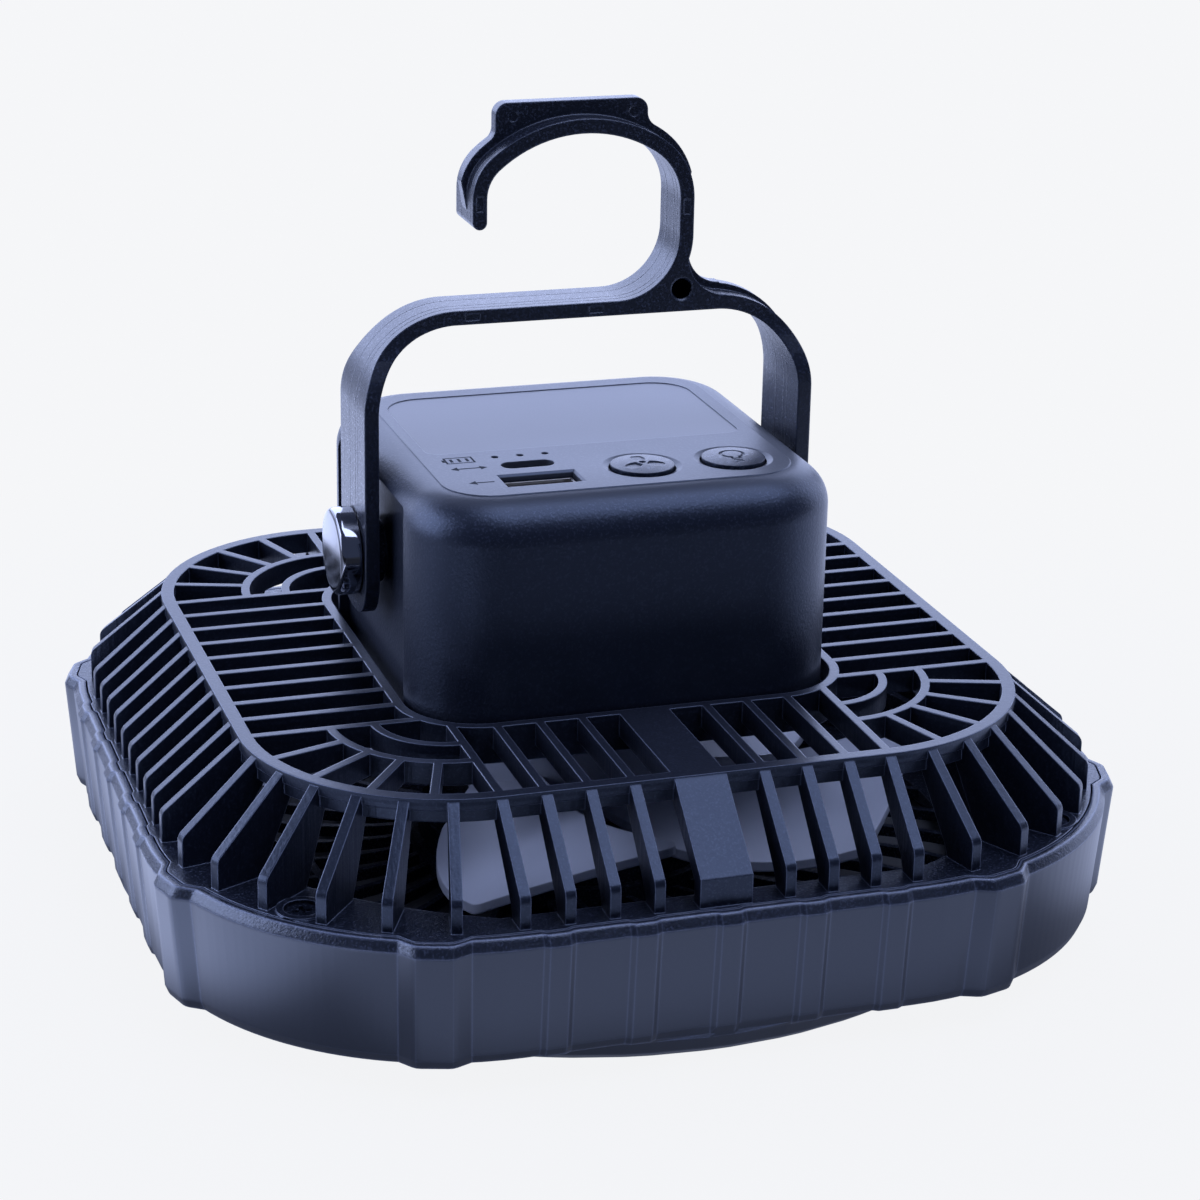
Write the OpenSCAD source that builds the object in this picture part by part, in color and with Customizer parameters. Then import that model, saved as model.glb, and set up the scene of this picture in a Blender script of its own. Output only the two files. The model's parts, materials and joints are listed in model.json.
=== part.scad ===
// Portable camping fan: a square-shouldered fan body standing on its round front,
// a battery housing on its back, and a swinging handle that ends in a hook.
// Millimetres, +Z up, origin at the centre of the front rim on the table.

/* [Grille pattern] */
// Spacing of the grille bars, and of everything that lines up with them
pitch = 7.4; // [6.8:0.1:8]
// Width of one grille bar
bar_w = 1.5; // [1.2:0.1:2]
// Depth of one grille bar
bar_depth = 4; // [3:0.25:5]
// Thickness of one slope fin
fin_t = 1.8; // [1.4:0.1:2.4]
// Width of the strap down the front and back slopes
strap_w = 8.9; // [7:0.1:10]
// Width of the raised ring round the grille
ring_w = 2.3; // [2:0.1:3]

/* [Body] */
// How far the bumper wall stands out beyond the fins
wall_margin = 3.3; // [3:0.1:5]
// Height of the flat grille above the table
ring_z = 44.2; // [43:0.2:47]
// Height of the deck that the fins stand on
deck_z = 27.1; // [25.7:0.2:28.7]
// Height at which a fin's slope turns down
knee_z = 32.1; // [30.7:0.2:33.7]
// Height of the bumper's lower edge at the corners
wall_bottom_z = 4.6; // [4:0.2:5.4]
// Thickness of the bumper wall
wall_t = 1.9; // [1.5:0.1:2]
// How far a corner lobe stands proud of the wall
lobe_h = 2.2; // [1.5:0.1:2.6]
// How far a side rib stands proud of the wall
rib_h = 0.5; // [0.3:0.1:1.2]
// Draft of the bumper wall, top to bottom
wall_draft = 1.5; // [0.8:0.1:2]
// Width of the bumper's flat lip round the deck
lip_w = 1.25; // [0.8:0.05:1.5]
// Width of the flat rim that the fan stands on
rim_flat = 5.3; // [4:0.1:6.5]
// Thickness of the deck
deck_t = 2; // [1.6:0.2:2.6]

/* [Air mover] */
// Radius over the blade tips
blade_r = 61.2; // [56:0.2:64]
// Number of blades
blades = 5; // [4:1:7]
// Radius of the impeller hub
hub_r = 20; // [18:0.5:22]
// Rise of a blade from its trailing to its leading edge
blade_rise = 9.6; // [8:0.2:11]
// Thickness of a blade
blade_t = 1.6; // [1.2:0.1:2]
// Diameter of the motor shaft
shaft_d = 3; // [2.5:0.1:3.5]
// Number of ribs in the front guard
guard_ribs = 40; // [32:1:44]
// Radius of the lamp in the middle of the guard
lamp_r = 27; // [24:0.5:29]

/* [Battery housing] */
// Height of the housing's top above the table
pod_top_z = 81.7; // [80.2:0.5:85.2]
// Radius of the housing's upright corners
pod_corner_r = 15; // [12:0.5:17]
// Radius of the housing's top edge
pod_edge_r = 7; // [5:0.5:8]
// Wall of the housing
pod_wall = 2.2; // [1.8:0.1:2.6]
// Diameter of a push button
button_d = 11; // [10:0.2:12]
// Travel of a push button
button_travel = 0.8; // [0.5:0.1:1]
// Diameter of a battery cell
cell_d = 18.4; // [17:0.1:18.8]
// Length of a battery cell
cell_l = 65; // [60:0.5:66]
// Room past each end of the cells
cell_room = 1.1; // [0.6:0.1:1.6]
// Depth of the flat recesses that the handle swings in
recess_depth = 2; // [1.6:0.1:2.4]

/* [Handle] */
// Height of the handle's pivots above the table
pivot_z = 63.4; // [61.8:0.1:65.6]
// Gap between the housing's sides and the handle's arms
arm_gap = 0.4; // [0.3:0.05:1]
// Thickness of the handle's strap
strip_t = 2.5; // [2:0.1:3]
// Width of the handle's arms, front to back
arm_w = 17.5; // [15:0.5:19]
// Width of the handle's cross bar and hook, front to back
grip_w = 10.6; // [9:0.2:13]
// Height of the cross bar's top above the pivots
bar_rise = 43.2; // [42.8:0.1:50]
// Outer radius of the handle's shoulders
shoulder_r = 17; // [12:0.5:20]
// Height of the stiffening rib on the hook and the shoulder
crest_h = 1.3; // [0.8:0.1:2]
// Thickness of the stiffening rib
crest_t = 2.6; // [2:0.1:4]
// Diameter of the hanging hole
hang_d = 3.4; // [2:0.1:4.4]
// Diameter of a pivot knob
knob_d = 15.5; // [13:0.5:16.5]
// Thickness of a pivot knob
knob_t = 3.8; // [3:0.1:5]
// Diameter of a pivot bolt
bolt_d = 5; // [4:0.2:6]

/* [Clearances] */
// Gap between neighbouring pieces that don't turn on each other
gap = 0.3; // [0.2:0.05:0.4]
// Running clearance on a radius
run = 0.05; // [0.02:0.01:0.1]

/* [Hidden] */

$fn = 72;
eps = 0.01;

plastic = [0.13, 0.14, 0.17];
steel = [0.7, 0.71, 0.73];
chrome = [0.86, 0.87, 0.9];

// Bevel of the bumper's lip, downwards and inwards
chamfer = 1.75;
chamfer_in = 1;
// Every corner of the body is concentric about these points
corner_c = 4.5 * pitch;
ring_half = corner_c + 4.75 * pitch;
ring_in = ring_half - ring_w;
fin_half = corner_c + 6.56 * pitch;
wall_half = fin_half + wall_margin;
foot_half = wall_half - wall_draft;
deck_half = wall_half - chamfer_in - lip_w - gap;
opening_half = fin_half - 5;
opening_r = 1.095 * opening_half + 0.7;
screw_reach = 6.1 * pitch;
screw_c = corner_c + screw_reach / sqrt(2);
post_d = 2 * (foot_half - wall_t - corner_c - screw_reach - 0.1);
arc_in_r = 1.65 * pitch;
arc_out_r = 2.65 * pitch;
drum_r = wall_half - 1.7;
drum_edge = 5.6;
mouth_r = drum_r - drum_edge - rim_flat;

// Battery housing, just wide enough for its cells between the recesses
pod_half = cell_l / 2 + cell_room + pod_wall + recess_depth;
recess_x = pod_half - recess_depth;

// Tray that carries the battery housing
tray_in = pod_half + 0.7;
tray_half = tray_in + 1.7;
tray_r = pod_corner_r - 2.2;
tray_t = 2.4;
tray_z = ring_z - 6.6;
tray_floor = tray_z + tray_t;

// Handle
arm_in = pod_half + arm_gap;
arm_x = arm_in + strip_t;
bar_z = pivot_z + bar_rise;
boss_l = 4;

/* ---------- outlines ---------- */

// Points of an arc
function arc(cx, cy, r, a0, a1, n) =
    [for (i = [0:n]) let (a = a0 + (a1 - a0) * i / n) [cx + r * cos(a), cy + r * sin(a)]];

function turned(points, a) =
    [for (p = points) [p[0] * cos(a) - p[1] * sin(a), p[0] * sin(a) + p[1] * cos(a)]];

function flatten(lists) = [for (l = lists) for (p = l) p];

// Trapezoid standing on a wall that faces -Y
function bump(x, y, flat, slope, h) =
    [[x - flat / 2 - slope, y], [x - flat / 2, y - h], [x + flat / 2, y - h], [x + flat / 2 + slope, y]];

// The same with its two proud corners eased
function soft_bump(x, y, flat, slope, h) =
    let (cut = 0.8, sag = 0.13, fall = [slope, h] / norm([slope, h]), mid = fall - [1, 0],
        easing = mid * sag / max(norm(mid), eps),
        corner = [flat / 2, 0],
        half = [[flat / 2 + slope, h], corner + cut * fall, corner + easing, corner - [cut, 0]])
    concat(
        [for (p = half) [x - p[0], y - h + p[1]]],
        [for (i = [3:-1:0]) [x + half[i][0], y - h + half[i][1]]]);

lobe_flat = 6;
lobe_slope = 2.8;
lobe_angle = 16.8;
side_rib_flat = 3.4;
side_rib_slope = 0.9;
side_rib_pitch = 1.93 * pitch;

// Lobe on the corner arc, turned about the corner's centre
function lobe(r, a, h) =
    let (foot = -r * cos(asin((lobe_flat / 2 + lobe_slope) / r)))
    [for (p = turned(soft_bump(0, foot, lobe_flat, lobe_slope, h), a)) [p[0] + corner_c, p[1] - corner_c]];

// One side and one corner of the body's outline, from the middle of the front to the middle of the right side
function side_and_corner(half, ribs, lobes) =
    let (r = half - corner_c, da = asin((lobe_flat / 2 + lobe_slope) / r))
    flatten([
        for (k = [-2:2]) bump(k * side_rib_pitch, -half, side_rib_flat, side_rib_slope, ribs),
        arc(corner_c, -corner_c, r, -90, -92 + lobe_angle - da, 2),
        lobe(r, lobe_angle, lobes),
        arc(corner_c, -corner_c, r, -88 + lobe_angle + da, -2 - lobe_angle - da, 17),
        lobe(r, 90 - lobe_angle, lobes),
        arc(corner_c, -corner_c, r, 2 - lobe_angle + da, 0, 2)
    ]);

function body_outline(half, ribs, lobes) =
    flatten([for (q = [0:3]) turned(side_and_corner(half, ribs, lobes), 90 * q)]);

module rounded_square(half, r) {
    square([2 * half, 2 * (half - r)], center = true);
    square([2 * (half - r), 2 * half], center = true);
    for (x = [-1, 1], y = [-1, 1])
        translate([x * (half - r), y * (half - r)]) circle(r);
}

module slab(half, r, z0, z1) {
    translate([0, 0, z0]) linear_extrude(z1 - z0) rounded_square(half, r);
}

module tube(r_out, r_in, z0, z1) {
    difference() {
        translate([0, 0, z0]) cylinder(r = r_out, h = z1 - z0);
        translate([0, 0, z0 - 1]) cylinder(r = r_in, h = z1 - z0 + 2);
    }
}

// Closed skin through outlines with the same number of points, the last joined to the first
module loft_ring(rings, heights) {
    n = len(rings[0]);
    m = len(rings);
    points = [for (i = [0:m - 1]) for (p = rings[i]) [p[0], p[1], heights[i]]];
    lower = [for (i = [0:m - 1]) for (j = [0:n - 1])
        [i * n + j, (i + 1) % m * n + j, (i + 1) % m * n + (j + 1) % n]];
    upper = [for (i = [0:m - 1]) for (j = [0:n - 1])
        [i * n + j, (i + 1) % m * n + (j + 1) % n, i * n + (j + 1) % n]];
    polyhedron(points, concat(lower, upper));
}

module four_corners(c) {
    for (x = [-1, 1], y = [-1, 1]) translate([x * c, y * c]) children();
}

/* ---------- body ---------- */

// Outline pushed out to a circle wherever it lies inside that circle
function at_least(points, r) = [for (p = points) p * max(1, r / norm(p))];

function on_circle(points, r) = [for (p = points) p * r / norm(p)];

guard_ledge = 2.6;
guard_r = mouth_r + 5;
plate_top = wall_bottom_z + 3.8;

// Bumper band: lobed, drafted wall with a chamfered lip, on the round drum that it stands on
module bumper_frame() color(plastic) {
    edge = 2.2;
    edge_45 = edge * (1 - sqrt(0.5));
    base = body_outline(wall_half, rib_h, lobe_h);
    wall_inside = body_outline(foot_half - wall_t, 0, 0);
    flat_r = drum_r - drum_edge;
    under_a = acos(1 - wall_bottom_z / drum_edge);
    drum = [for (a = [0, 25, 50, under_a]) [flat_r + drum_edge * sin(a), drum_edge * (1 - cos(a))]];
    seat = body_outline(deck_half + gap, rib_h, lobe_h);
    loft_ring(
        concat(
            [on_circle(base, mouth_r)],
            [for (d = drum) on_circle(base, d[0])],
            [at_least(body_outline(foot_half - edge, 0, lobe_h), drum[3][0] + 0.05),
                at_least(body_outline(foot_half - edge_45, rib_h, lobe_h), drum_r - 0.1),
                at_least(body_outline(foot_half, rib_h, lobe_h), drum_r),
                base,
                body_outline(wall_half - chamfer_in, rib_h, lobe_h),
                seat, seat,
                wall_inside, wall_inside,
                on_circle(base, guard_r), on_circle(base, guard_r),
                on_circle(base, mouth_r)]),
        concat([0], [for (d = drum) d[1]],
            [wall_bottom_z + 0.05, wall_bottom_z + edge_45, wall_bottom_z + edge,
                deck_z - chamfer, deck_z, deck_z, deck_z - deck_t, deck_z - deck_t,
                plate_top, plate_top, guard_ledge, guard_ledge]));
}

module deck_outline() {
    polygon(body_outline(deck_half, rib_h, lobe_h));
}

module deck_opening() {
    intersection() {
        square(2 * opening_half, center = true);
        circle(opening_r, $fn = 120);
    }
}

// Side view of one slope fin, radius along x and height along y
module fin_side(inner_r, outer_r, opening_r) {
    drop = bar_depth + 0.2;
    polygon(concat(
        [[inner_r, ring_z], [outer_r - fin_run - 0.6, ring_z]],
        arc(outer_r - 2, knee_z - 0.7, 2, 42, 0, 5),
        [[outer_r, deck_z - eps], [opening_r + 0.8, deck_z - eps], [opening_r + 0.8 - 1.2, deck_z + 2.4],
            [inner_r, ring_z - drop]]));
}

fin_run = fin_half - ring_half;
fan_step = 90 / 7;

module fin_at(inner_r, outer_r, opening_r, t) {
    rotate([90, 0, 0]) translate([0, 0, -t / 2]) linear_extrude(t) fin_side(inner_r, outer_r, opening_r);
}

head_hole_d = 6;
ring_step = 0.25;

// Fins, bars and corner fans of the rear grille, all hung from the raised ring
module rear_grille() color(plastic) {
    lower_half = ring_half - ring_step;
    difference() {
        union() {
            // deck with screw bosses
            translate([0, 0, deck_z - deck_t]) linear_extrude(deck_t) difference() {
                deck_outline();
                deck_opening();
            }
            translate([0, 0, deck_z - deck_t]) linear_extrude(deck_t + 0.3) intersection() {
                deck_outline();
                four_corners(screw_c) circle(d = head_hole_d + 2.4);
            }
            // raised ring, its upper half a little prouder
            difference() {
                union() {
                    slab(ring_half, ring_half - corner_c, ring_z - bar_depth / 2, ring_z);
                    slab(lower_half, lower_half - corner_c, ring_z - bar_depth, ring_z - 1);
                }
                slab(ring_in, ring_in - corner_c, ring_z - bar_depth - 1, ring_z + 1);
            }
            tray();
            side_bars();
            corner_fans();
            slope_fins();
            straps();
        }
        four_corners(screw_c) {
            translate([0, 0, deck_z - 1.2]) cylinder(d = head_hole_d, h = knee_z - deck_z);
            cylinder(d = 3.4, h = deck_z + 1);
        }
        translate([0, 0, tray_z - 1]) cylinder(r = 2 * shaft_d, h = tray_t + 2);
        four_corners(post_c) cylinder(d = 2.5, h = tray_floor + 1);
    }
}

module tray() {
    difference() {
        slab(tray_half, tray_r + 1.7, tray_z, ring_z);
        slab(tray_in, tray_r, tray_floor, ring_z + 1);
    }
}

// Straight bars: ten on each flank, and four each side of the strap at front and back
module side_bars() {
    for (s = [-1, 1]) {
        for (k = [-4.5:1:4.5]) flank_bar(s, k);
        for (k = [-4.5, -3.5, -2.5, -1.5, 1.5, 2.5, 3.5, 4.5]) mirror([1, -1, 0]) flank_bar(s, k);
    }
}

// One bar from the ring to the tray, on the side that s names
module flank_bar(s, k) {
    reach = bar_reach(k);
    translate([s > 0 ? tray_half - reach : -ring_in - 0.5, k * pitch - bar_w / 2, ring_z - bar_depth])
        cube([ring_in - tray_half + 0.5 + reach, bar_w, bar_depth]);
}

// Extra length that carries a bar on to the tray, longer where the tray's corner curves away
function bar_reach(k) =
    let (r = tray_r + 1.7, over = max(0, abs(k) * pitch + bar_w / 2 - (tray_half - r)))
    0.6 + r - sqrt(max(0, r * r - over * over));

module corner_fans() {
    for (q = [0:3]) rotate(90 * q) translate([corner_c, corner_c, ring_z - bar_depth]) {
        linear_extrude(bar_depth) intersection() {
            translate([-bar_w / 2, -bar_w / 2]) square(ring_half);
            union() {
                for (r = [arc_in_r, arc_out_r]) difference() {
                    circle(r + bar_w / 2);
                    circle(r - bar_w / 2);
                }
            }
        }
        for (a = [18, 36, 54, 72]) rotate(a)
            translate([arc_out_r, -bar_w / 2, 0])
                cube([ring_in - corner_c - arc_out_r + 0.5, bar_w, bar_depth]);
    }
}

// Distance from a corner's centre to the round part of the deck's opening
function opening_from_corner(a) =
    let (c = corner_c * sqrt(2), along = c * cos(a), straight = (opening_half - corner_c) / cos(45 - abs(a)))
    min(sqrt(pow(opening_r, 2) - c * c + along * along) - along, straight);

// Fins on the four slopes and fanned round the four corners
module slope_fins() {
    for (q = [0:3]) rotate(90 * q) {
        ks = q % 2 == 0 ? [-4.5:1:4.5] : [-4.5, -3.5, -2.5, -1.5, 1.5, 2.5, 3.5, 4.5];
        for (k = ks) translate([0, k * pitch, 0]) fin_at(ring_in + 0.4, fin_half, opening_half, fin_t);
        for (a = [fan_step:fan_step:89]) translate([corner_c, corner_c, 0]) rotate(a)
            fin_at(ring_in - corner_c + 0.4, fin_half - corner_c, opening_from_corner(45 - a), fin_t);
    }
}

// Broad straps over the front and back slopes
module straps() {
    strap_t = 2.6;
    for (s = [-1, 1]) {
        translate([-strap_w / 2, s > 0 ? tray_half - 0.6 : -ring_half, ring_z - bar_depth])
            cube([strap_w, ring_half - tray_half + 0.6, bar_depth]);
        rotate(90 * s) rotate([90, 0, 0]) translate([0, 0, -strap_w / 2]) linear_extrude(strap_w)
            polygon([[ring_in, ring_z], [fin_half - fin_run - 0.3, ring_z], [fin_half + 0.3, knee_z],
                [fin_half + 0.3, deck_z - eps], [fin_half - strap_t, deck_z - eps],
                [fin_half - strap_t, knee_z - 1.2], [ring_in, ring_z - strap_t - 0.8]]);
    }
}

// Posts on the body's floor that the grille screws bite into
module screw_posts() color(plastic)
    four_corners(screw_c) translate([0, 0, plate_top]) difference() {
        cylinder(d = post_d, h = deck_z - deck_t - plate_top);
        translate([0, 0, 1]) cylinder(d = 2.9, h = deck_z);
    }

// Self-tapping screws that hold the grille to the body, sunk in the deck's corner holes
module grille_screws() color(steel) {
    four_corners(screw_c) {
        translate([0, 0, deck_z - 1.2]) difference() {
            cylinder(d = 5.4, h = 1);
            translate([0, 0, 0.4]) cross_slot(3.2, 0.8);
        }
        translate([0, 0, plate_top + 2]) cylinder(d = 2.9, h = deck_z - 1.2 - plate_top - 2);
    }
}

module cross_slot(l, w) {
    for (a = [0, 90]) rotate(a) translate([-l / 2, -w / 2, 0]) cube([l, w, 3]);
}

/* ---------- front guard and lamp ---------- */

guard_z = guard_ledge;
guard_t = 2;
guard_mid_r = 50;
guard_mid_w = 1.6;
spoke_t = 1.3;
lamp_seat_r = lamp_r + 2.6;

// Round guard: swept ribs between a lamp ring and a flange
module front_guard() color(plastic) {
    translate([0, 0, guard_z]) linear_extrude(guard_t) {
        flat_ring(guard_r - gap, mouth_r - 2.2);
        flat_ring(guard_mid_r, guard_mid_r - guard_mid_w);
        flat_ring(lamp_seat_r, lamp_seat_r - 1.6);
        for (i = [0:guard_ribs - 1]) rotate(i * 360 / guard_ribs) swept_rib();
    }
    tube(lamp_seat_r, lamp_seat_r - 1.6, guard_z + 0.5, guard_z + 4);
}

module flat_ring(r_out, r_in) {
    difference() {
        circle(r_out, $fn = 120);
        circle(r_in, $fn = 120);
    }
}

// One guard rib: a slice of a ring, so that it leaves the lamp ring at a slant
module swept_rib() {
    sweep_r = 46;
    mid = (lamp_seat_r + mouth_r) / 2 - 1;
    intersection() {
        translate([mid, -sweep_r * 0.86]) flat_ring(sweep_r + spoke_t / 2, sweep_r - spoke_t / 2);
        translate([0, -20]) square([mouth_r, 90]);
        flat_ring(mouth_r - 1.5, lamp_seat_r - 0.8);
    }
}

module air_duct() color(plastic)
    tube(guard_r - gap - 0.6, guard_r - gap - 2.2, guard_z + guard_t, wall_bottom_z + 12);

// Lamp: cup, light-emitting-diode board and frosted lens
lamp_lens_z = 0.6;
module lamp_cup() color(plastic) {
    difference() {
        translate([0, 0, guard_z]) cylinder(r = lamp_seat_r - 1.6, h = 8);
        translate([0, 0, guard_z - 1]) cylinder(r = lamp_r, h = 7);
    }
}

module lamp_board() color("white") {
    translate([0, 0, guard_z + 4.4]) cylinder(r = lamp_r - gap, h = 1.6);
    for (i = [0:11]) rotate(i * 30) translate([lamp_r - 8, -1.75, guard_z + 3.6]) cube([2.8, 3.5, 1]);
}

module lamp_lens() color("ivory")
    difference() {
        rotate_extrude() {
            square([lamp_r - gap - 2, guard_z + 4.4]);
            translate([0, lamp_lens_z + 2]) square([lamp_r - gap, guard_z + 2.4 - lamp_lens_z]);
        }
        translate([0, 0, lamp_lens_z + 1.6]) cylinder(r = lamp_r - 3.6, h = 10);
        translate([0, 0, -1]) cylinder(r = lamp_r + 2, h = lamp_lens_z + 1);
    }

/* ---------- motor and impeller ---------- */

mount_t = 2;
shaft_r = shaft_d / 2;
bearing_r = 4.5;
sleeve_r = 6;
stator_z = 20.7;
stator_h = 10;
rotor_z = 15.7;

// Motor carrier screwed under the tray, with the sleeve that holds the bearings
module motor_mount() color(plastic) {
    difference() {
        union() {
            translate([0, 0, tray_z - mount_t]) cylinder(r = 17, h = mount_t);
            translate([0, 0, stator_z - 2]) cylinder(r = sleeve_r, h = tray_z - mount_t - stator_z + 2);
        }
        translate([0, 0, stator_z - 3]) cylinder(r = bearing_r, h = 4);
        translate([0, 0, tray_z - mount_t - 1]) cylinder(r = bearing_r, h = 8);
        cylinder(r = shaft_r + 0.6, h = tray_z + 1);
    }
}

module shaft_bearings() color(steel)
    for (z = [stator_z - 2, tray_z - 3])
        tube(bearing_r, shaft_r + run, z, z + 3);

module motor_stator() color("orangered") {
    difference() {
        union() {
            translate([0, 0, stator_z + 1]) cylinder(r = 8, h = stator_h - 2);
            for (i = [0:8]) rotate(i * 40) {
                translate([0, -1.4, stator_z + 2]) cube([12.4, 2.8, stator_h - 4]);
                translate([8.6, -2.2, stator_z + 1.2]) cube([2.8, 4.4, stator_h - 2.4]);
            }
        }
        cylinder(r = sleeve_r, h = 60);
    }
}

module motor_shaft() color(steel)
    translate([0, 0, rotor_z - 1]) cylinder(d = shaft_d, h = tray_z + 1.6 - rotor_z);

magnet_r = 13.4;
module magnet_ring() color("dimgray")
    tube(magnet_r + 2, magnet_r, stator_z - 0.5, stator_z + stator_h + 0.5);

// Hub cup and its pitched, rounded blades
module impeller() color([0.75, 0.77, 0.8, 0.6]) {
    hub_top = rotor_z + 17;
    difference() {
        union() {
            translate([0, 0, rotor_z - 2]) rotate_extrude() {
                square([hub_r - 4, hub_top - rotor_z + 2]);
                translate([0, 4]) square([hub_r, hub_top - rotor_z - 2]);
                translate([hub_r - 4, 4]) circle(4);
            }
            for (i = [0:blades - 1]) rotate(blade_phase + i * 360 / blades) blade();
        }
        translate([0, 0, rotor_z + 1.4]) cylinder(r = magnet_r + 2, h = 40);
        translate([0, 0, -1]) cylinder(d = shaft_d, h = 60);
    }
    tube(4, shaft_r, rotor_z - 2, rotor_z + 2.4);
}

blade_mid_z = 24.5;
blade_phase = 37.5;
blade_chord = 0.48 * blade_r;
// Centres and radii of a blade's curved edges
trail_c = blade_r * [0.534, 0.45];
trail_r = 0.842 * blade_r;
lead_c = blade_r * [0.235, 0.8];
lead_r = 0.88 * blade_r;
trail_corner_r = 3;
lead_corner_r = 1.5;

function direction(v) = atan2(v[1], v[0]);

// Centre of a corner circle of radius r that touches the tip circle from inside and lies d away from c
function corner_at(r, c, d) =
    let (out = blade_r - r, a = direction(c) - acos((out * out + c * c - d * d) / (2 * out * norm(c))))
    out * [cos(a), sin(a)];

// Plan of one blade, swept back, its root inside the hub wall
function blade_plan() =
    let (in_r = hub_r - 1.6,
        front = corner_at(lead_corner_r, lead_c, lead_r + lead_corner_r),
        back = corner_at(trail_corner_r, trail_c, trail_r - trail_corner_r))
    concat(
        [in_r * [cos(-66), sin(-66)], in_r * [cos(-19), sin(-19)]],
        arc(lead_c[0], lead_c[1], lead_r, -66, direction(front - lead_c), 10),
        arc(front[0], front[1], lead_corner_r, direction(lead_c - front), direction(front), 4),
        arc(0, 0, blade_r, direction(front), direction(back), 10),
        arc(back[0], back[1], trail_corner_r, direction(back), direction(back - trail_c), 6),
        arc(trail_c[0], trail_c[1], trail_r, direction(back - trail_c), -100, 10));

// A thin curved sheet, pitched about a line that leans back with the sweep, cut to the plan
module blade() {
    camber_r = 106;
    sweep = 5;
    axis_x = 0.966 * blade_r;
    pitch_angle = atan(blade_rise / blade_chord);
    intersection() {
        translate([0, 0, blade_mid_z - 14]) linear_extrude(24) polygon(blade_plan());
        translate([axis_x, 0, blade_mid_z]) rotate(sweep) rotate([pitch_angle, 0, 0])
            translate([0, 0, -camber_r]) rotate([0, 90, 0]) difference() {
                translate([0, 0, -70]) cylinder(r = camber_r, h = 100, $fn = 160);
                translate([0, 0, -71]) cylinder(r = camber_r - blade_t, h = 102, $fn = 160);
            }
    }
}

/* ---------- battery housing ---------- */

// Box with round upright corners and a round top edge
module pillow(half, corner, edge, z0, z1) {
    h = z1 - z0;
    c = half - corner;
    translate([0, 0, z0]) {
        four_corners(c) rotate_extrude() {
            square([corner - edge, h]);
            square([corner, h - edge]);
            translate([corner - edge, h - edge]) circle(edge);
        }
        for (a = [0, 90]) rotate([90, 0, a]) translate([0, 0, -c]) linear_extrude(2 * c) {
            translate([-half, 0]) square([2 * half, h - edge]);
            translate([edge - half, 0]) square([2 * (half - edge), h]);
            for (s = [-1, 1]) translate([s * (half - edge), h - edge]) circle(edge);
        }
    }
}

button_x = [0.69 * pitch, 2.93 * pitch];
button_y = -2.85 * pitch;
port_x = -1.86 * pitch;
usb_c_y = -2.1 * pitch;
usb_a_y = -3.2 * pitch;
light_x = [-2.45 * pitch, -1.84 * pitch, -1.23 * pitch];
light_y = -1.4 * pitch;
usb_a_w = 13;
usb_a_h = 6;
usb_c_w = 9.4;
usb_c_h = 3.7;
label_x0 = -3.92 * pitch;
label_x1 = 3.85 * pitch;
label_y0 = -0.88 * pitch;
label_y1 = 3.72 * pitch;
label_depth = 0.4;
label_sink = 0.12;
crease = 0.12;
plateau_half = pod_half - pod_edge_r + 0.3;
boss_stand = 0.6;
board_z = pod_top_z - 11;
board_top = board_z + 1.6;
board_l = 58;
board_w = 30;
board_posts = [[-25, -24], [-25, -4], [27, -4]];
switch_h = 3.6;

module label_shape(inset) {
    front_r = 2.5;
    back_r = 7;
    x0 = label_x0 + inset;
    x1 = label_x1 - inset;
    y0 = label_y0 + inset;
    y1 = label_y1 - inset;
    translate([x0 + front_r, y0]) square([x1 - x0 - 2 * front_r, y1 - y0 - back_r]);
    translate([x0, y0 + front_r]) square([x1 - x0, y1 - y0 - front_r - back_r]);
    translate([x0 + back_r, y1 - back_r - 1]) square([x1 - x0 - 2 * back_r, back_r + 1]);
    translate([x0 + front_r, y0 + front_r]) circle(front_r);
    translate([x1 - front_r, y0 + front_r]) circle(front_r);
    translate([x0 + back_r, y1 - back_r]) circle(back_r);
    translate([x1 - back_r, y1 - back_r]) circle(back_r);
}

module stadium(w, h) {
    square([w - h, h], center = true);
    for (s = [-1, 1]) translate([s * (w - h) / 2, 0]) circle(h / 2);
}

// One-piece housing, open towards the tray, with flat recesses where the handle swings
module pod_shell() color(plastic) {
    z0 = tray_floor;
    inside = pod_half - pod_wall;
    difference() {
        union() {
            difference() {
                pillow(pod_half, pod_corner_r, pod_edge_r, z0, pod_top_z - crease);
                difference() {
                    pillow(inside, pod_corner_r - pod_wall, pod_edge_r - pod_wall, z0 - 1,
                        pod_top_z - pod_wall);
                    arm_recesses(pod_wall);
                }
                arm_recesses(0);
            }
            slab(plateau_half, pod_corner_r - pod_edge_r + 0.5, pod_top_z - 1, pod_top_z);
            for (s = [-1, 1]) translate([s * (recess_x - boss_l), 0, pivot_z]) rotate([0, s * 90, 0])
                cylinder(d = bolt_d + 5, h = boss_l + boss_stand);
            for (p = board_posts) translate([p[0], p[1], board_top])
                cylinder(d = 4, h = pod_top_z - 1 - board_top);
            lid_posts(z0);
        }
        for (s = [-1, 1]) translate([s * (recess_x - 9), 0, pivot_z]) rotate([0, s * 90, 0])
            cylinder(d = bolt_d, h = 12);
        top_openings();
        four_corners(post_c) translate([0, 0, z0 - 1]) cylinder(d = 2.5, h = 10);
    }
}

lid_post_r = 3.2;
post_c = pod_half - pod_corner_r + (pod_corner_r - pod_wall - 0.8 * lid_post_r) / sqrt(2);
module lid_posts(z0) {
    four_corners(post_c) translate([0, 0, z0]) cylinder(r = lid_post_r, h = 12);
}

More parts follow.
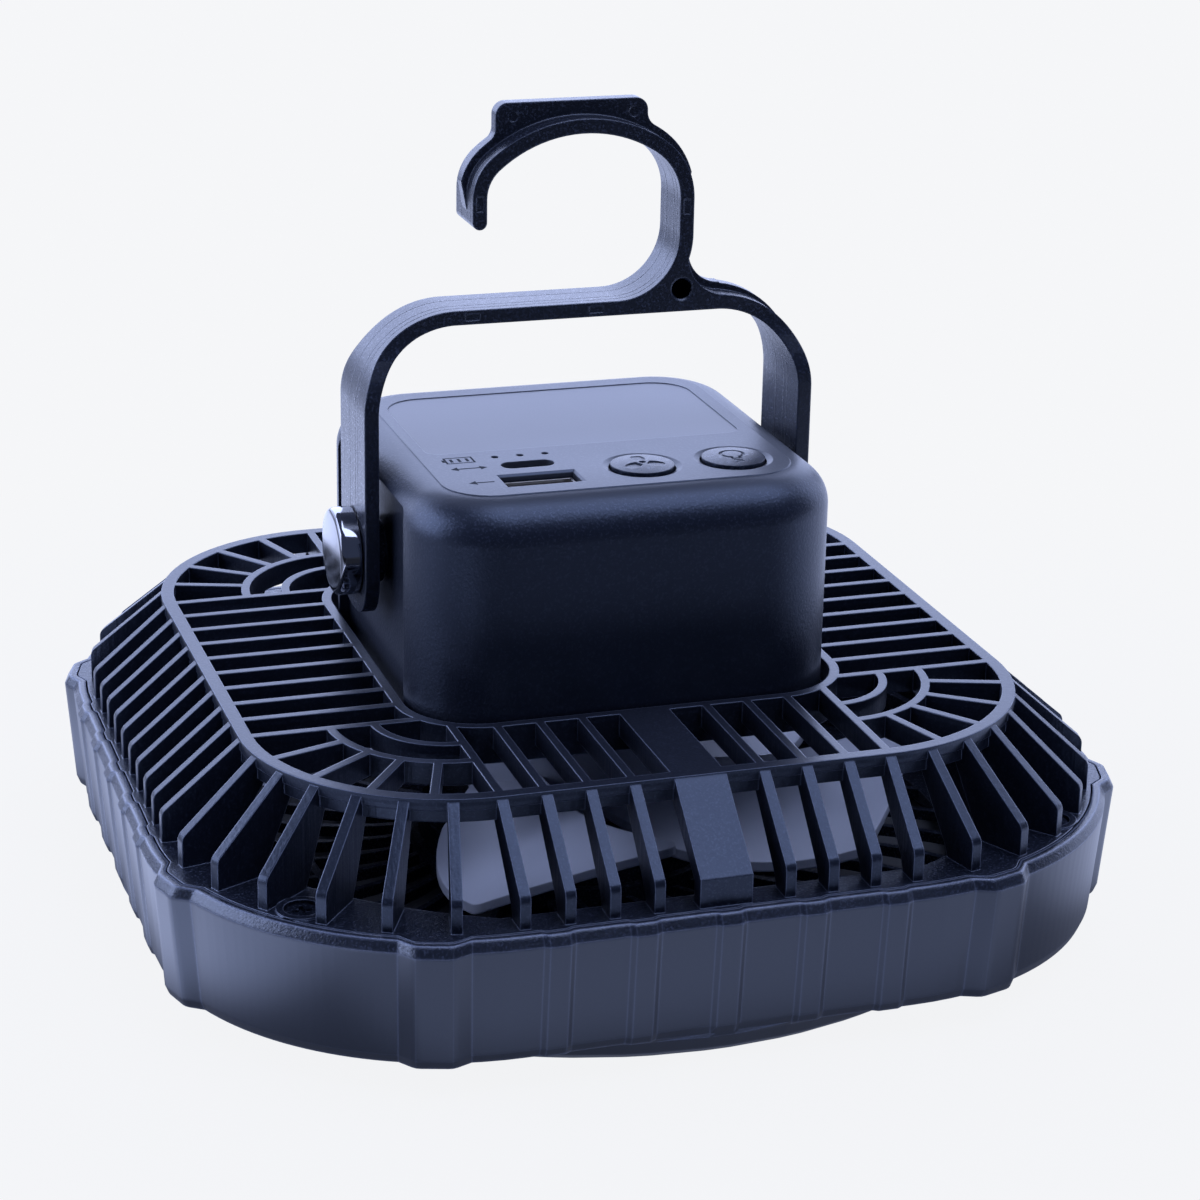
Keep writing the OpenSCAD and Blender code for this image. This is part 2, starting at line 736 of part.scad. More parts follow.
// Blocks that cut the flat recesses; wall widens them into the wall behind
module arm_recesses(wall) {
    reach = 3.15 * pitch + wall;
    top = pod_top_z - 4.2 + wall;
    bend = 3 + wall;
    for (s = [-1, 1]) translate([s * (recess_x + 5 - wall), 0, 0]) rotate([90, 0, 90]) translate([0, 0, -5])
        linear_extrude(10) {
            translate([-reach, 0]) square([2 * reach, top - bend]);
            translate([-reach + bend, 0]) square([2 * (reach - bend), top]);
            for (k = [-1, 1]) translate([k * (reach - bend), top - bend]) circle(bend);
        }
}

dish = 0.4;
port_bevel = 0.4;

// Opening that widens by a bevel on all four sides up to the housing's top
module bevelled_opening(w, h) intersection() {
    rotate([90, 0, 0]) translate([0, 0, -h]) linear_extrude(2 * h) bevel_side(w);
    rotate([90, 0, 90]) translate([0, 0, -w]) linear_extrude(2 * w) bevel_side(h);
}

module bevel_side(w) {
    wide = w / 2 + port_bevel + eps;
    polygon([[-w / 2, -pod_wall - 1], [w / 2, -pod_wall - 1], [w / 2, -port_bevel],
        [wide, eps], [-wide, eps], [-w / 2, -port_bevel]]);
}

module top_openings() {
    translate([0, 0, pod_top_z - label_depth]) linear_extrude(5) label_shape(0);
    for (x = button_x) translate([x, button_y, 0]) {
        translate([0, 0, pod_top_z - pod_wall - 1]) cylinder(d = button_d + 2 * gap, h = 5);
        translate([0, 0, pod_top_z - dish])
            cylinder(r1 = button_d / 2 + gap, r2 = button_d / 2 + 1.4, h = dish + eps);
    }
    translate([port_x, usb_a_y, pod_top_z]) bevelled_opening(usb_a_w, usb_a_h);
    translate([port_x, usb_c_y, pod_top_z - pod_wall - 1]) linear_extrude(5) stadium(usb_c_w, usb_c_h);
    for (x = light_x) translate([x, light_y, pod_top_z - pod_wall - 1]) cylinder(d = 1.3, h = 5);
}

module pod_screws() color(steel)
    four_corners(post_c) translate([0, 0, tray_z]) {
        translate([0, 0, -1.8]) cylinder(d = 5, h = 1.8);
        translate([0, 0, -eps]) cylinder(d = 2.5, h = tray_t + 8);
    }

module label_plate() color([0.16, 0.17, 0.2])
    translate([0, 0, pod_top_z - label_depth]) linear_extrude(label_depth - label_sink) label_shape(0);

cells_at = 2;
cell_y = [cells_at - cell_d / 2 - 0.6, cells_at + cell_d / 2 + 0.6];
saddle_l = 0.8 * cell_l;
cell_z = tray_floor + 1.2 + cell_d / 2;

module battery_cells() color("seagreen")
    for (y = cell_y) translate([-cell_l / 2, y, cell_z]) rotate([0, 90, 0]) cylinder(d = cell_d, h = cell_l);

// Two saddles that stand on the tray and hold the cells side by side
module cell_saddles() color("dimgray")
    difference() {
        translate([-saddle_l / 2, cells_at - cell_d - 2.6, tray_floor])
            cube([saddle_l, 2 * cell_d + 5.2, cell_d * 0.6]);
        for (y = cell_y) translate([-cell_l, y, cell_z]) rotate([0, 90, 0])
            cylinder(d = cell_d, h = 2 * cell_l);
        translate([-0.35 * saddle_l, -2 * cell_d, tray_floor - 1])
            cube([0.7 * saddle_l, 4 * cell_d + 4, cell_d]);
    }

module control_board() color("darkgreen")
    difference() {
        translate([-board_l / 2 + 1, -board_w, board_z]) cube([board_l, board_w, 1.6]);
        for (s = [-1, 1]) translate([s * board_l / 2 + 1, -board_w, board_z - 1]) cylinder(r = 7, h = 4);
    }

module usb_a_socket() color(steel) {
    top = pod_top_z - 1.2;
    difference() {
        translate([port_x - usb_a_w / 2 + gap, usb_a_y - usb_a_h / 2 + gap, board_top])
            cube([usb_a_w - 2 * gap, usb_a_h - 2 * gap, top - board_top]);
        translate([port_x - usb_a_w / 2 + gap + 0.4, usb_a_y - usb_a_h / 2 + gap + 0.4, board_top + 1])
            cube([usb_a_w - 2 * gap - 0.8, usb_a_h - 2 * gap - 0.8, 20]);
    }
    translate([port_x - 5, usb_a_y + 0.3, board_top + 0.9]) cube([10, 1.4, top - board_top - 1.6]);
}

module usb_c_socket() color(steel) {
    top = pod_top_z - 1.2;
    translate([port_x, usb_c_y, board_top]) {
        difference() {
            linear_extrude(top - board_top) stadium(usb_c_w - 2 * gap, usb_c_h - 2 * gap);
            translate([0, 0, 1]) linear_extrude(20) stadium(usb_c_w - 2 * gap - 0.6, usb_c_h - 2 * gap - 0.6);
        }
        translate([-3, -0.35, 0.9]) cube([6, 0.7, top - board_top - 1.6]);
    }
}

module charge_lights() color("white")
    for (x = light_x) translate([x, light_y, board_top]) {
        cylinder(d = 3, h = 4.6);
        cylinder(d = 1.1, h = pod_top_z - 0.4 - board_top);
    }

module button_switches() color("dimgray")
    for (x = button_x) translate([x, button_y, board_top]) {
        translate([-3, -3, 0]) cube([6, 6, switch_h - 1]);
        cylinder(d = 3.2, h = switch_h);
    }

button_stand = 0.6;
sign_scale = 1.2;

// Push button: domed cap with a skirt that stays under the housing's top, its sign cut into it
module push_button(x) {
    dome_r = 4 * button_d;
    flange_z = pod_top_z - pod_wall - gap;
    translate([x, button_y, 0]) {
        translate([0, 0, flange_z - 1.6]) cylinder(d = button_d + 1.8, h = 1.6);
        difference() {
            intersection() {
                translate([0, 0, flange_z - eps]) cylinder(d = button_d, h = 10);
                translate([0, 0, pod_top_z + button_stand - dome_r]) sphere(r = dome_r, $fn = 200);
            }
            translate([0, 0, pod_top_z + button_stand - 0.25]) linear_extrude(1) scale(sign_scale) children();
        }
        translate([0, 0, board_top + switch_h + button_travel + 0.1])
            cylinder(d = 4, h = flange_z - board_top - switch_h - button_travel - 0.1);
    }
}

// Sign of a fan: three leaf-shaped blades and a dot
module fan_sign() {
    leaf_r = 2.2;
    circle(0.5);
    for (a = [90, 210, 330]) rotate(a) intersection() {
        translate([1.9, 1.3]) circle(leaf_r);
        translate([1.9, -1.1]) circle(leaf_r);
        translate([2, 0]) square([2.4, 4], center = true);
    }
}

// Sign of a lamp: a bulb's outline over two short bars
module lamp_sign() {
    difference() {
        union() {
            translate([0, 0.6]) circle(1.9);
            translate([-0.8, -1.8]) square([1.6, 1.2]);
        }
        translate([0, 0.6]) circle(1.45);
        translate([-0.4, -1.5]) square([0.8, 1]);
    }
    for (y = [-2.4, -3]) translate([-0.7, y]) square([1.4, 0.3]);
}

module fan_button() color(plastic) push_button(button_x[0]) fan_sign();

module light_button() color(plastic) push_button(button_x[1]) lamp_sign();

/* ---------- handle ---------- */

hook_c = [-0.9, pivot_z + 49.6];
hook_r = 23.2;
hook_right = 16.4;
hook_left = -18.3;
hook_tip_z = pivot_z + 58.3;
throat_r = 11;
brow_r = 10;
lip_r = 6.4;

// Area inside the hook, grown by e: a large round top blended into straight sides
module hook_area(e) {
    brow_x = hook_right - brow_r;
    brow_z = hook_c[1] + sqrt(pow(hook_r - brow_r, 2) - pow(brow_x - hook_c[0], 2));
    lip_x = hook_left + lip_r;
    lip_z = hook_c[1] + sqrt(pow(hook_r - lip_r, 2) - pow(lip_x - hook_c[0], 2));
    top = 200;
    brow_far = brow_x + (top - brow_z) * (brow_x - hook_c[0]) / (brow_z - hook_c[1]);
    lip_far = lip_x + (top - lip_z) * (lip_x - hook_c[0]) / (lip_z - hook_c[1]);
    intersection() {
        union() {
            translate(hook_c) circle(hook_r + e, $fn = 120);
            translate([-60, bar_z - e]) square([120, hook_c[1] - bar_z + e]);
        }
        union() {
            polygon([[-60, 0], [brow_x, 0], [brow_x, brow_z], [brow_far, top], [lip_far, top], [-60, lip_z]]);
            translate([-60, 0]) square([60 + hook_right + e, brow_z]);
            translate([brow_x, brow_z]) circle(brow_r + e);
        }
        union() {
            polygon([[100, 0], [lip_x, 0], [lip_x, lip_z], [lip_far, top], [brow_far, top], [100, brow_z]]);
            translate([hook_left - e, 0]) square([100, lip_z]);
            translate([lip_x, lip_z]) circle(lip_r + e);
        }
        union() {
            translate([-60, 0]) square([60 + hook_right - throat_r, 200]);
            translate([-60, bar_z + throat_r]) square([120, 100]);
            translate([hook_right - throat_r, bar_z + throat_r]) circle(throat_r + e);
        }
    }
}

// Hook strap alone: a grown area less a smaller one, open on the left below the tip
module hook_strap(e0, e1) {
    difference() {
        hook_area(e1);
        hook_area(e0);
        translate([-60, 0]) square([60 + hook_right - throat_r, hook_tip_z]);
    }
}

// Arch of the handle: a rounded frame without its lower side
module arch(e0, e1) {
    low = pivot_z - arm_w;
    module frame(e) {
        r = shoulder_r + e;
        translate([-arm_x - e, low]) square([2 * (arm_x + e), bar_z - low - shoulder_r]);
        translate([-arm_x + shoulder_r, low]) square([2 * (arm_x - shoulder_r), bar_z + e - low]);
        for (s = [-1, 1]) translate([s * (arm_x - shoulder_r), bar_z - shoulder_r]) circle(r);
    }
    difference() {
        frame(e1);
        difference() {
            frame(e0);
            translate([-60, 0]) square([120, low]);
        }
    }
}

web_right = 25.4;
web_r = 7.2;

// Solid web between hook, cross bar and shoulder, with a hollow outer curve
module web(e) {
    difference() {
        translate([hook_right - throat_r, bar_z - strip_t])
            square([web_right - hook_right + throat_r, throat_r + strip_t]);
        hook_area(0);
        translate([web_right, bar_z + web_r]) circle(web_r - e);
        translate([hook_right + strip_t + e, bar_z + web_r]) square([20, 20]);
    }
}

// Stiffening rib of the hook: it fades out above the tip and half way down the right side
module hook_crest() {
    tip_x = hook_left - strip_t;
    side_x = hook_right + strip_t;
    fade = 9;
    difference() {
        hook_strap(strip_t - 0.2, strip_t + crest_h);
        translate([-arm_x, 0]) square([2 * arm_x, bar_z]);
        polygon([[tip_x + 0.1, hook_tip_z + 1], [tip_x - crest_h - 1, hook_tip_z + fade + 4],
            [tip_x - fade, hook_tip_z + fade + 4], [tip_x - fade, hook_tip_z - 5],
            [tip_x + 0.1, hook_tip_z - 5]]);
        polygon([[side_x, crest_end_z - 1], [side_x + crest_h + 1, crest_end_z + fade],
            [side_x + fade, crest_end_z + fade], [side_x + fade, 0],
            [side_x - 1, 0], [side_x - 1, crest_end_z - 1]]);
    }
}

crest_end_z = pivot_z + 62;

// Handle: strap, hook, web, stiffening rib and the plate on top of the hook
module handle() color(plastic) {
    span = 1.5 * arm_x;
    hole_x = hook_right + 0.7;
    hole_z = bar_z + 1.4;
    difference() {
        union() {
            intersection() {
                rotate([90, 0, 0]) translate([0, 0, -arm_w / 2]) linear_extrude(arm_w) {
                    arch(-strip_t, 0);
                    hook_strap(0, strip_t);
                    web(0);
                    translate([hook_left - strip_t / 2, hook_tip_z]) circle(strip_t / 2);
                }
                rotate([90, 0, 90]) translate([0, 0, -span]) linear_extrude(2 * span) handle_side();
            }
            rotate([90, 0, 0]) translate([0, 0, -crest_t / 2]) linear_extrude(crest_t) {
                hook_crest();
                web(crest_h);
                shoulder_crest();
                top_plate();
            }
        }
        for (s = [-1, 1]) translate([s * (arm_in - 1), 0, pivot_z]) rotate([0, s * 90, 0])
            cylinder(d = bolt_d + 2 * run, h = strip_t + 2);
        translate([hole_x, -span, hole_z]) rotate([-90, 0, 0]) cylinder(d = hang_d, h = 2 * span);
        for (a = [0, 180]) rotate(a) translate([cos(a) * hole_x, -grip_w / 2 - eps, hole_z])
            rotate([-90, 0, 0]) cylinder(d1 = hang_d + 2 * hole_rim, d2 = hang_d, h = hole_rim);
        moulding_marks();
    }
}

hole_rim = 0.4;
mark_depth = 0.15;

// Shallow marks that the mould leaves on the front: round ones on the plate, oblong ones on the strap
module moulding_marks() {
    plate_z = pivot_z + 75.4;
    for (x = [-12.7, 8.9]) translate([x, mark_depth - crest_t / 2, plate_z]) rotate([90, 0, 0])
        cylinder(r = 0.9, h = 4);
    for (m = [[hook_left - strip_t / 2, pivot_z + 61.5], [hook_right + strip_t / 2, pivot_z + 59.2]])
        translate([m[0] - 0.6, -grip_w / 2 - 1, m[1] - 1.3]) cube([1.2, 1 + mark_depth, 2.6]);
    for (x = [-20.7, 1.5]) translate([x - 1.3, -grip_w / 2 - 1, bar_z - strip_t / 2 - 0.6])
        cube([2.6, 1 + mark_depth, 1.2]);
}

// Width of the handle seen from its side, as half widths over height
module handle_side() {
    top = 200;
    end_z = pivot_z - 10.6;
    flare_z = bar_z - shoulder_r + 1;
    bend = 7;
    step = (arm_w - grip_w) / 2;
    blend_r = 14;
    blend_a = acos(1 - step / 2 / blend_r);
    polygon(concat(
        arc(-arm_w / 2 + bend, end_z + bend, bend, 270, 180, 8),
        arc(-arm_w / 2 + blend_r, flare_z, blend_r, 180, 180 - blend_a, 4),
        arc(-grip_w / 2 - blend_r, flare_z + 2 * blend_r * sin(blend_a), blend_r, -blend_a, 0, 4),
        [[-grip_w / 2, top], [grip_w / 2, top]],
        arc(grip_w / 2 + blend_r, flare_z + 2 * blend_r * sin(blend_a), blend_r, 180, 180 + blend_a, 4),
        arc(arm_w / 2 - blend_r, flare_z, blend_r, blend_a, 0, 4),
        arc(arm_w / 2 - bend, end_z + bend, bend, 0, -90, 8)));
}

// Rib that runs on from the web and fades out over the right shoulder
module shoulder_crest() {
    intersection() {
        arch(-0.2, crest_h);
        translate([arm_x - shoulder_r - 0.58 * crest_h, bar_z - shoulder_r + crest_h]) circle(shoulder_r);
        translate([web_right - 2, bar_z - shoulder_r]) square(2 * shoulder_r);
    }
}

// Flat plate that stands on the crown of the hook
module top_plate() {
    x0 = -15.8;
    x1 = 11.4;
    top = pivot_z + 77.8;
    r = 2.2;
    difference() {
        union() {
            translate([x0, hook_c[1] + 16]) square([x1 - x0, top - r - hook_c[1] - 16]);
            translate([x0 + r, top - r - 1]) square([x1 - x0 - 2 * r, r + 1]);
            for (x = [x0 + r, x1 - r]) translate([x, top - r]) circle(r);
            plate_fillet(x0, -1);
            plate_fillet(x1, 1);
        }
        hook_area(strip_t - 0.2);
    }
}

// Hollow curve between an end of the plate and the round back of the hook
module plate_fillet(x, s) {
    r = 2.6;
    back = hook_r + strip_t + crest_h;
    cx = x + s * r;
    cz = hook_c[1] + sqrt(pow(back + r, 2) - pow(cx - hook_c[0], 2));
    touch = hook_c + ([cx, cz] - hook_c) * back / (back + r);
    difference() {
        polygon([[x - s, cz], [cx, cz], touch, touch - [0, 1], [x - s, touch[1] - 1]]);
        translate([cx, cz]) circle(r);
    }
}

/* ---------- pivots ---------- */

knob_x = arm_x + gap;

// Chromed cap of a pivot, with a slightly domed face and a bevelled rim
module knob(s) color(chrome)
    translate([s * knob_x, 0, pivot_z]) rotate([0, s * 90, 0]) difference() {
        intersection() {
            union() {
                cylinder(d = knob_d, h = knob_t - 1);
                translate([0, 0, knob_t - 1]) cylinder(d1 = knob_d, d2 = knob_d - 2.2, h = 1);
            }
            translate([0, 0, knob_t - 3 * knob_d]) sphere(r = 3 * knob_d, $fn = 200);
        }
        translate([0, 0, -1]) cylinder(d = bolt_d - 1, h = knob_t - 0.4);
    }

module left_knob() knob(-1);

module right_knob() knob(1);

// Pivot bolt: stub through the housing boss, bearing for the arm, and a spigot for the knob
module bolt(s) color(steel)
    translate([s * (recess_x - boss_l), 0, pivot_z]) rotate([0, s * 90, 0]) {
        cylinder(d = bolt_d, h = knob_x - recess_x + boss_l);
        cylinder(d = bolt_d - 1, h = knob_x - recess_x + boss_l + knob_t - 1.4);
        translate([0, 0, -1.6]) cylinder(d = bolt_d + 3, h = 1.6);
    }

module left_bolt() bolt(-1);

module right_bolt() bolt(1);

// Washers that stiffen the swing, between the bosses and the arms
module friction_washers() color("dimgray")
    for (s = [-1, 1]) translate([s * (recess_x + boss_stand), 0, pivot_z]) rotate([0, s * 90, 0])
        difference() {
            cylinder(d = bolt_d + 7, h = arm_in - recess_x - boss_stand - gap);
            translate([0, 0, -1]) cylinder(d = bolt_d + 2 * run, h = 10);
        }

bumper_frame();
screw_posts();
rear_grille();
front_guard();
air_duct();
grille_screws();
lamp_cup();
lamp_board();
lamp_lens();
motor_mount();
motor_stator();
motor_shaft();
shaft_bearings();
magnet_ring();
impeller();
pod_shell();
battery_cells();
cell_saddles();
control_board();
usb_a_socket();
usb_c_socket();
charge_lights();
button_switches();
fan_button();
light_button();
label_plate();
pod_screws();
handle();
left_knob();
right_knob();
left_bolt();
right_bolt();
friction_washers();
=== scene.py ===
"""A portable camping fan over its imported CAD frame: finishes, plain signs, chromed knob caps and a studio."""

import json
from math import cos, radians, sin

import bpy
from mathutils import Matrix, Vector


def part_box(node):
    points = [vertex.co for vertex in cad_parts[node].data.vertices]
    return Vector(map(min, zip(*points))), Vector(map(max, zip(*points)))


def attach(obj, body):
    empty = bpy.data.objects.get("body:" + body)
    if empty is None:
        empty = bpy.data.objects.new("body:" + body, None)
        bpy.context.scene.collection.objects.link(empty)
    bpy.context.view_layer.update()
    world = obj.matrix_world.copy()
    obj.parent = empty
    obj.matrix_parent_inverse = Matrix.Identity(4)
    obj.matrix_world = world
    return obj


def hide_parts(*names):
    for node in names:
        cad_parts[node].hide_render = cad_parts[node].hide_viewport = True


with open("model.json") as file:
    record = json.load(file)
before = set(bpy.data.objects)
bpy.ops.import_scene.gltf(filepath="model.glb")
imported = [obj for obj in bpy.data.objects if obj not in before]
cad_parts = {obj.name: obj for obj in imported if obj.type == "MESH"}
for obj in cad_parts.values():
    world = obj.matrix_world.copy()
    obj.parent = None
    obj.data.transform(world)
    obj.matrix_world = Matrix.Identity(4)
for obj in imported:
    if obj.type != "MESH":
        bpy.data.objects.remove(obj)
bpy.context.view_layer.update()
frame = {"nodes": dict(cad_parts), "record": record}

MM = 0.001
RING_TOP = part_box("rear_grille")[1].z
DECK_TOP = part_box("bumper_frame")[1].z
POD_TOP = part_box("pod_shell")[1].z
KNOB_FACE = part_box("right_knob")[1].x
HANGING_HOLE = next(mount for mount in frame["record"]["mounts"] if mount["name"] == "hanging_hole")

# ---------------------------------------------------------------- camera

CAMERA_AZIMUTH = radians(-18.295)
CAMERA_ELEVATION = radians(19.892)
CAMERA_ROLL = radians(1.145)
CAMERA_DISTANCE = 568.93 * MM
CAMERA_ASIDE = 4.78 * MM
CAMERA_RAISED = 5.65 * MM
CAMERA_NEAR = 0.01
CAMERA_FAR = 20
AIM = Vector((0, 0, RING_TOP))
SENSOR = 36.0
LENS = 94.33


def add_camera():
    """The camera looks past the grille's centre, turned a little about its own axis."""
    back = Vector((sin(CAMERA_AZIMUTH) * cos(CAMERA_ELEVATION),
                   -cos(CAMERA_AZIMUTH) * cos(CAMERA_ELEVATION),
                   sin(CAMERA_ELEVATION)))
    level = (-back).cross(Vector((0, 0, 1))).normalized()
    upright = back.cross(level)
    right = cos(CAMERA_ROLL) * level + sin(CAMERA_ROLL) * upright
    up = cos(CAMERA_ROLL) * upright - sin(CAMERA_ROLL) * level
    data = bpy.data.cameras.new("camera")
    data.sensor_width = SENSOR
    data.lens = LENS
    data.clip_start = CAMERA_NEAR
    data.clip_end = CAMERA_FAR
    camera = bpy.data.objects.new("camera", data)
    bpy.context.scene.collection.objects.link(camera)
    place = AIM + CAMERA_DISTANCE * back + CAMERA_ASIDE * right + CAMERA_RAISED * up
    camera.matrix_world = Matrix.Translation(place) @ Matrix((right, up, back)).transposed().to_4x4()
    bpy.context.scene.camera = camera


add_camera()

# ---------------------------------------------------------------- shader expressions

BEVEL_SAMPLES = 8


def rgba(shade):
    """A shade of three numbers with its alpha added. A shader value stays as it is."""
    return (*shade, 1.0) if isinstance(shade, tuple) and len(shade) == 3 else shade


def darker(shade, share):
    """The shade with each of its numbers times share."""
    return tuple(share * c for c in shade)


class Value:
    """One output of a shader node. Arithmetic on it adds Math nodes."""

    def __init__(self, finish, socket):
        self.finish = finish
        self.socket = socket

    def math(self, operation, *others):
        operands = dict(enumerate((self, *others)))
        return self.finish.node("ShaderNodeMath", {"operation": operation}, operands)

    def __add__(self, other):
        return self.math("ADD", other)

    __radd__ = __add__

    def __mul__(self, other):
        return self.math("MULTIPLY", other)

    __rmul__ = __mul__

    def __sub__(self, other):
        return self.math("SUBTRACT", other)

    def __rsub__(self, other):
        return self.finish.node("ShaderNodeMath", {"operation": "SUBTRACT"}, {0: other, 1: self})

    def __abs__(self):
        return self.math("ABSOLUTE")

    def root(self):
        return self.math("SQRT")

    def most(self, other):
        return self.math("MAXIMUM", other)

    def least(self, other):
        return self.math("MINIMUM", other)


class Finish:
    """A material in the making: node() adds its nodes, and surface() or close() finishes it."""

    def __init__(self, name):
        self.material = bpy.data.materials.new(name)
        self.material.use_nodes = True
        self.tree = self.material.node_tree
        self.tree.nodes.clear()
        self.point = self.node("ShaderNodeTexCoord", output="Object")

    def node(self, kind, settings=None, inputs=None, output=0):
        """Adds a node with its settings and inputs, and gives one of its outputs."""
        made = self.tree.nodes.new(kind)
        for key, value in (settings or {}).items():
            setattr(made, key, value)
        for key, value in (inputs or {}).items():
            if isinstance(value, Value):
                self.tree.links.new(value.socket, made.inputs[key])
            else:
                made.inputs[key].default_value = value
        return Value(self, made.outputs[output])

    def axis(self, letter):
        """The point's place along X, Y or Z, in metres."""
        return self.node("ShaderNodeSeparateXYZ", None, {"Vector": self.point}, output=letter)

    def stretched(self, x, y, z):
        """The point with its axes scaled, which draws a pattern out along the smaller scales."""
        return self.node("ShaderNodeVectorMath", {"operation": "MULTIPLY"}, {0: self.point, 1: (x, y, z)})

    def noise(self, size, detail=2.0, roughness=0.5, point=None):
        """Noise from 0 to 1 whose lumps are about size across."""
        return self.node("ShaderNodeTexNoise", None, {
            "Vector": point or self.point, "Scale": 1 / size, "Detail": detail, "Roughness": roughness})

    def grains(self, size):
        """Round grains about size apart, 0 in each grain's middle."""
        return self.node("ShaderNodeTexVoronoi", None, {"Vector": self.point, "Scale": 1 / size})

    def ramp(self, value, low, high, start=0.0, end=1.0):
        """start below low, end above high, and a straight ramp between."""
        return self.node("ShaderNodeMapRange", {"clamp": True}, {
            "Value": value, "From Min": low, "From Max": high, "To Min": start, "To Max": end})

    def mix(self, factor, first, second):
        """The first colour where the factor is 0, and the second where it is 1."""
        return self.node("ShaderNodeMix", {"data_type": "RGBA"},
                         {0: factor, 6: rgba(first), 7: rgba(second)}, output=2)

    def edges(self, radius):
        """The surface's normal with its sharp edges rounded."""
        return self.node("ShaderNodeBevel", {"samples": BEVEL_SAMPLES}, {"Radius": radius})

    def bump(self, height, normal=None):
        """The normal over a relief whose height is in millimetres."""
        inputs = {"Height": height, "Distance": MM, "Strength": 1.0}
        return self.node("ShaderNodeBump", None, inputs | ({"Normal": normal} if normal else {}))

    def ray(self, kind):
        """1 for the rays of a kind, such as Camera or Glossy."""
        return self.node("ShaderNodeLightPath", output=f"Is {kind} Ray")

    def blend(self, factor, first, second):
        """The first shader where the factor is 0, and the second where it is 1."""
        return self.node("ShaderNodeMixShader", None, {0: factor, 1: first, 2: second})

    def surface(self, **sockets):
        """Closes the material with a Principled shader. Its sockets' names are given in lower case."""
        named = {}
        for key, value in sockets.items():
            named[key.replace("_", " ").title().replace("Ior", "IOR")] = value
        return self.close(self.node("ShaderNodeBsdfPrincipled", None, named))

    def close(self, shader):
        out = self.tree.nodes.new("ShaderNodeOutputMaterial")
        self.tree.links.new(shader.socket, out.inputs["Surface"])
        return self.material


# ---------------------------------------------------------------- moulded plastic

BLACK = (0.0030, 0.0042, 0.0090)
WORN = (0.045, 0.053, 0.080)
# The next two are painted light: a highlight along edges, then a sheen on top faces.
PAINTED_HIGHLIGHT = (0.20, 0.23, 0.32)
PAINTED_SHEEN = (0.040, 0.043, 0.052)
INK = (0.0, 0.0, 0.0)
# Painted shade: the near-black colour inside a bore.
PAINTED_SHADE = (0.001, 0.001, 0.002)
SHEEN = (0.78, 0.86, 1.0)
DEEP_SHEEN = (0.62, 0.75, 1.0)

CLOUD_SIZE = 32 * MM
SPECK_SIZE = 0.4 * MM

# An edge's turn is the cosine between the surface and its rounded normal: the painted edge highlight is
# full below the first number and gone above the second.
SQUARE_EDGES = (0.76, 0.98)
SHALLOW_EDGES = (0.90, 0.995)


class Moulded(Finish):
    """Black moulded plastic, satin, with an eroded grain, slow clouds of gloss, and painted highlights along
    its edges.

    Its parts can be changed before finished(): height is the relief in millimetres, specks and eroded are
    masks of the grain, bloom is a mask of a painted sheen on a top face, sign a mask of the signs and
    hollow one of a bore's painted shade."""

    def __init__(self, name, roughness, grain_depth, grain_size=0.5 * MM, edge=0.35 * MM, gloss=1.0,
                 edge_highlights=0.0, turns=SQUARE_EDGES, sheen=DEEP_SHEEN):
        super().__init__(name)
        self.roughness = roughness
        self.edge = edge
        self.gloss = gloss
        self.edge_highlights = edge_highlights
        self.turns = turns
        self.sheen = sheen
        self.clouds = self.noise(CLOUD_SIZE, detail=3)
        self.eroded = self.noise(grain_size, detail=2, roughness=0.6)
        self.height = (self.eroded - 0.5 * self.grains(1.6 * grain_size)) * (grain_depth / MM)
        self.specks = self.ramp(self.noise(SPECK_SIZE, detail=2), 0.54, 0.66)
        self.top_sheen = None
        self.sign = None
        self.bore_shade = None

    def relief(self, height):
        """Adds relief, in millimetres."""
        self.height = self.height + height

    def line(self, axis, place, width, height):
        """A fine moulded line where the point's place along an axis is near the given one."""
        off = abs(self.axis(axis) - place)
        self.relief(self.ramp(off, 0.0, width, height, 0.0))

    def highlight_mask(self, rounded):
        """A mask of the edges for the painted highlight along them, uneven with the grain."""
        flat = self.node("ShaderNodeNewGeometry", output="Normal")
        turn = self.node("ShaderNodeVectorMath", {"operation": "DOT_PRODUCT"}, {0: rounded, 1: flat},
                         output="Value")
        return self.ramp(turn, *self.turns, 1.0, 0.0) * (0.45 + 0.9 * self.eroded)

    def finished(self):
        rounded = self.edges(self.edge)
        base = self.mix(0.15 * self.clouds + 0.85 * self.specks, BLACK, WORN)
        roughness = self.roughness + 0.08 * self.clouds - 0.08 * self.specks
        # Painted sheen: a paler colour on a top face stands in for light falling on it.
        if self.top_sheen is not None:
            base = self.mix(self.top_sheen, base, PAINTED_SHEEN)
        # Painted highlight: a paler, bluish colour along the edges stands in for the light that rounded edges
        # catch.
        if self.edge_highlights:
            base = self.mix(self.edge_highlights * self.highlight_mask(rounded), base, PAINTED_HIGHLIGHT)
        if self.sign is not None:
            base = self.mix(self.sign, base, INK)
            roughness = roughness + 0.5 * self.sign
        plastic = self.node("ShaderNodeBsdfPrincipled", None, {
            "Base Color": base, "Roughness": roughness, "Specular IOR Level": self.gloss,
            "Specular Tint": rgba(self.sheen), "Normal": self.bump(self.height, rounded)})
        if self.bore_shade is None:
            return self.close(plastic)
        # Painted shade: inside a bore a near-black, dull surface stands in for its shade.
        shaded_bore = self.node("ShaderNodeBsdfDiffuse", None, {"Color": rgba(PAINTED_SHADE)})
        return self.close(self.blend(self.bore_shade, plastic, shaded_bore))


